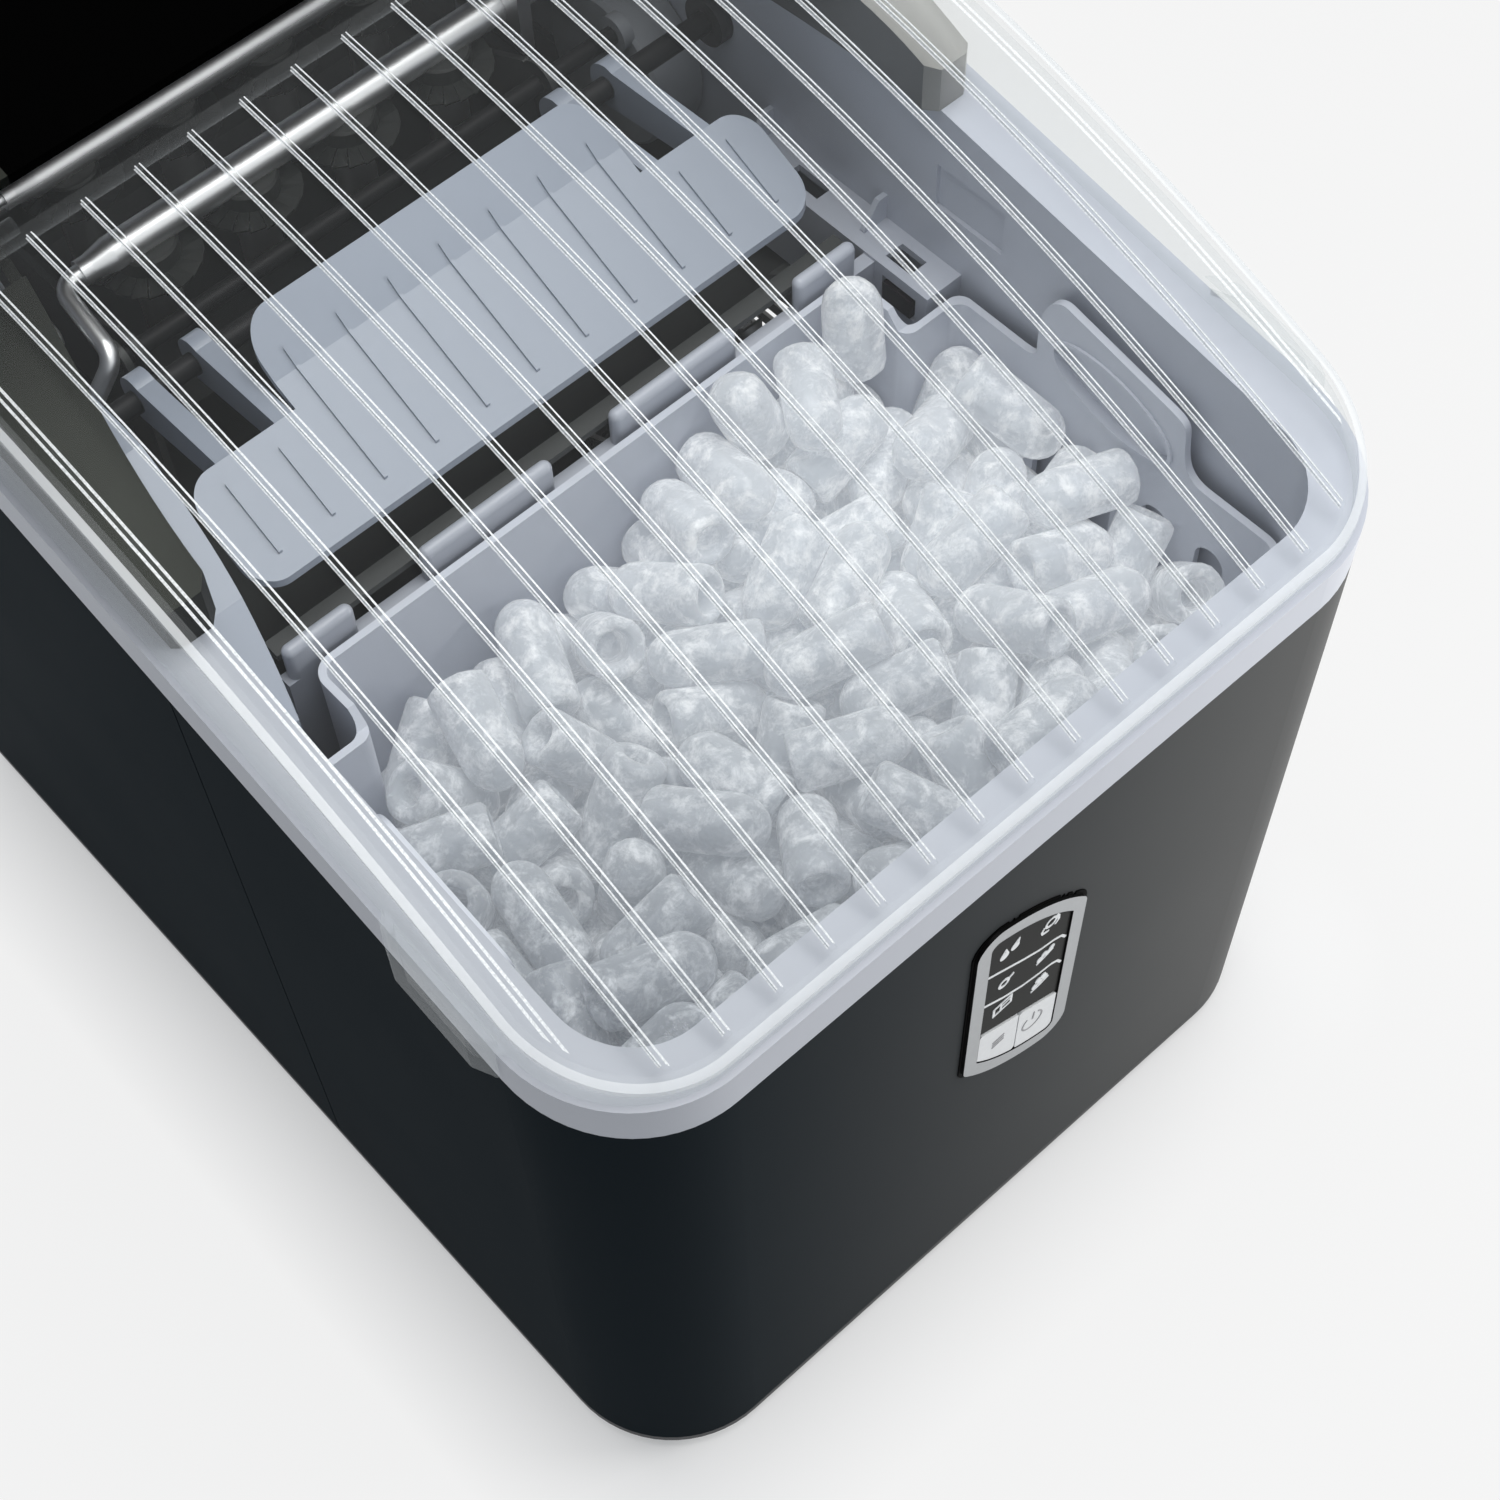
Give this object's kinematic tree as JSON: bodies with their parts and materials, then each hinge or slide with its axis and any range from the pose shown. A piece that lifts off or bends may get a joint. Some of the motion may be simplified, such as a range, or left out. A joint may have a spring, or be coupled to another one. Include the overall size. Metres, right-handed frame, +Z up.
{
  "type": "ice maker",
  "caption": "Counter-top bullet ice maker with a bowed clear lid, ice basket, tilting water tray, ice shovel and slanted front control panel.",
  "frame": {"origin": "on the table under the middle of the body", "axes": "+Z up, -Y towards the front with the control panel, +X to the right seen from the front"},
  "size_m": [0.252, 0.3324, 0.2981],
  "materials": {
    "body_metal": "satin",
    "liner_plastic": "satin",
    "basket_plastic": "satin",
    "light_plastic": "satin",
    "black_gloss": "gloss",
    "clear_plastic": "clear",
    "dark_plastic": "matte",
    "chrome": "polished",
    "steel": "satin",
    "copper": "satin",
    "rubber": "matte",
    "silicone": "satin",
    "motor_case": "satin",
    "sensor": "gloss",
    "compressor_paint": "satin",
    "aluminium": "satin",
    "board": "satin",
    "silver_trim": "satin",
    "window": "gloss",
    "key_plastic": "satin"
  },
  "bodies": {
    "case": {"base_pan": "dark_plastic", "feet": "rubber", "front_shell": "body_metal", "left_side_panel": "body_metal", "right_side_panel": "body_metal", "rear_panel": "body_metal", "liner": "liner_plastic", "top_cover": "black_gloss", "hinge_pins": "steel", "evaporator": "chrome", "evaporator_bracket": "steel", "suction_line": "copper", "feed_line": "copper", "liquid_line": "copper", "discharge_line": "copper", "pipe_grommets": "rubber", "filter_drier": "copper", "evaporator_trough": "dark_plastic", "tray_motor": "motor_case", "shaft_bush": "dark_plastic", "shovel_motor": "motor_case", "gear_cover": "light_plastic", "ice_sensors": "sensor", "water_pump": "dark_plastic", "water_hose": "silicone", "water_spout": "light_plastic", "compressor": "compressor_paint", "compressor_mounts": "rubber", "condenser": "aluminium", "fan_shroud": "dark_plastic", "fan_motor": "motor_case", "main_board": "board", "control_bezel": "silver_trim", "display_window": "window", "control_board": "board", "cord_gland": "dark_plastic", "case_screws": "steel"},
    "lid": {"lid": "clear_plastic"},
    "basket": {"ice_basket": "basket_plastic"},
    "tray": {"water_tray": "dark_plastic", "tray_rod": "steel"},
    "shovel": {"ice_shovel": "light_plastic", "shovel_shaft": "steel"},
    "fan": {"fan_blade": "black_gloss"},
    "select_button": {"select_key": "key_plastic"},
    "power_button": {"power_key": "key_plastic"},
    "drain_closure": {"drain_cap": "dark_plastic", "drain_seal": "rubber"}
  },
  "joints": [
    {"name": "lid_hinge", "type": "hinge", "parent": "case", "child": "lid", "pos_m": [0, 0.07, 0.28748], "axis": [-1, 0, 0], "range_deg": [0, 95]},
    {"name": "basket_lift", "type": "slide", "parent": "case", "child": "basket", "axis": [0, 0, 1], "range_m": [0, 0.02]},
    {"name": "tray_tilt", "type": "hinge", "parent": "case", "child": "tray", "pos_m": [0, 0.079, 0.222], "axis": [1, 0, 0], "range_deg": [-35, 0]},
    {"name": "shovel_sweep", "type": "hinge", "parent": "case", "child": "shovel", "pos_m": [0, 0.059, 0.23], "axis": [1, 0, 0], "range_deg": [0, 80]},
    {"name": "fan_spin", "type": "hinge", "parent": "case", "child": "fan", "pos_m": [0.068, 0.081, 0.072], "axis": [1, 0, 0], "continuous": true},
    {"name": "select_press", "type": "slide", "parent": "case", "child": "select_button", "axis": [0, 1, 0], "range_m": [0, 0.0006], "stiffness_N_per_m": 600, "springref_m": -0.0004},
    {"name": "power_press", "type": "slide", "parent": "case", "child": "power_button", "axis": [0, 1, 0], "range_m": [0, 0.0006], "stiffness_N_per_m": 600, "springref_m": -0.0004},
    {"name": "drain_turn", "type": "hinge", "parent": "case", "child": "drain_closure", "pos_m": [0, -0.099, 0.02], "axis": [0, 0, 1], "range_deg": [0, 90]}
  ]
}
